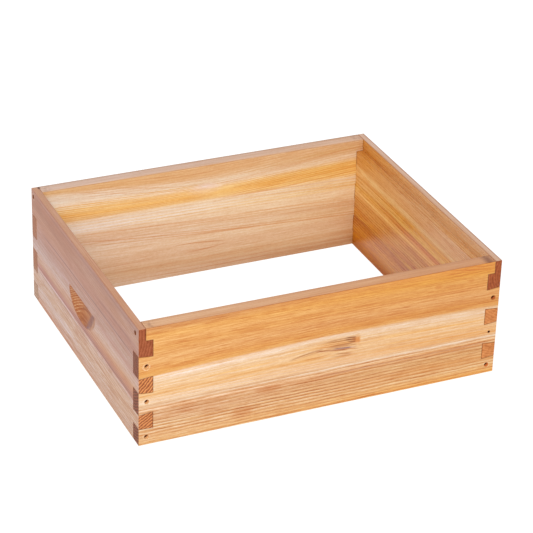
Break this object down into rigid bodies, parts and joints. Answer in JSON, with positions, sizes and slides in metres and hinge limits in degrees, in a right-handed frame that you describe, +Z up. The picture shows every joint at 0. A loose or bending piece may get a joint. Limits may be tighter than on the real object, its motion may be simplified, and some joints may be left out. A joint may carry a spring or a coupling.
{
  "type": "beehive box",
  "caption": "Shallow wooden hive box open at top and bottom, nailed dovetail corners, frame-rest rabbets and a scooped hand hold in each end.",
  "frame": {"origin": "centre of the box footprint, at the bottom rim", "axes": "+X along the long side boards, -Y is the front side board, +Z up; the left end board with the hand hold in view is at -X"},
  "size_m": [0.5048, 0.4128, 0.1683],
  "materials": {
    "side_board_wood": "satin",
    "end_board_wood": "satin",
    "nail_steel": "satin"
  },
  "bodies": {
    "root": {"front_board": "side_board_wood", "back_board": "side_board_wood", "left_end_board": "end_board_wood", "right_end_board": "end_board_wood", "front_left_nails": "nail_steel", "front_right_nails": "nail_steel", "front_right_small_nail": "nail_steel", "back_left_nails": "nail_steel", "back_right_nails": "nail_steel", "left_end_nails": "nail_steel", "right_end_nails": "nail_steel"}
  },
  "joints": []
}
